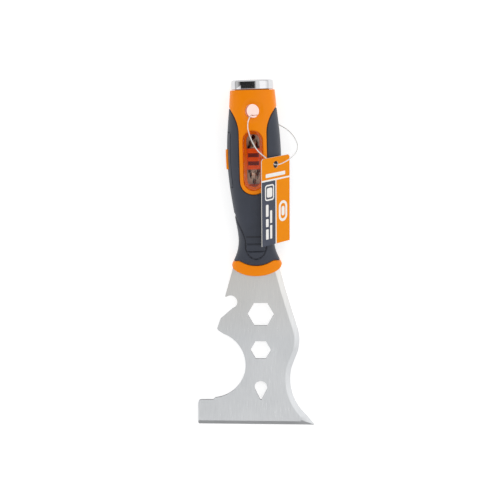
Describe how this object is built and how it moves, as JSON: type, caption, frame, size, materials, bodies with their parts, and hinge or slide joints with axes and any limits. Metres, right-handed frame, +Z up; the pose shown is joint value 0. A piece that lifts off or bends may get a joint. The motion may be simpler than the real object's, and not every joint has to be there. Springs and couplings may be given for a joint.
{
  "type": "painters multi tool",
  "caption": "Painter's multi tool: steel scraper blade with hex holes and roller arc, soft-grip handle, side-sliding bit drawer behind a clear window, chrome hammer cap and a card tag.",
  "frame": {"origin": "on the surface that the tool lies on, below the middle of the tool's bounding box (tag and string not counted)", "axes": "+Y from the scraper edge to the hammer cap, +Z up, the front with the window faces up, +X to the toe of the scraper edge"},
  "size_m": [0.0746, 0.2195, 0.0322],
  "materials": {
    "blade_steel": "satin brushed, ground bevels",
    "orange_plastic": "semi-gloss moulded",
    "soft_grip": "matte, fine grain",
    "clear_lens": "clear polished",
    "tool_steel": "sand-blasted grey steel",
    "spring_steel": "bright",
    "chrome_cap": "polished",
    "magnet": "nickel plated",
    "tag_card": "coated card, printed areas of orange and dark grey with white lines, no lettering",
    "clear_nylon": "clear monofilament"
  },
  "bodies": {
    "tool_body": {"blade": "blade_steel", "core_front_shell": "orange_plastic", "core_back_shell": "orange_plastic", "grip_overmould": "soft_grip", "window_lens": "clear_lens", "detent_spring": "spring_steel", "hammer_cap": "chrome_cap", "bit_socket": "tool_steel", "socket_magnet": "magnet", "cap_pin_left": "spring_steel", "cap_pin_right": "spring_steel", "tang_rivet_lower": "spring_steel", "tang_rivet_upper": "spring_steel", "tag_string": "clear_nylon", "string_lock": "clear_nylon"},
    "drawer": {"bit_drawer": "orange_plastic", "drawer_face_pad": "soft_grip", "bit_phillips": "tool_steel", "bit_slotted": "tool_steel"},
    "tag": {"swing_tag": "tag_card"}
  },
  "joints": [
    {"name": "drawer_slide", "type": "slide", "parent": "tool_body", "child": "drawer", "axis": [-0.9997, -0.0244, -0.0014], "range_m": [0, 0.021]},
    {"name": "tag_swing", "type": "hinge", "parent": "tool_body", "child": "tag", "pos_m": [0.01279, 0.05666, 0.02174], "axis": [0.766, -0.1116, 0.633], "range_deg": [-25, 4]}
  ]
}
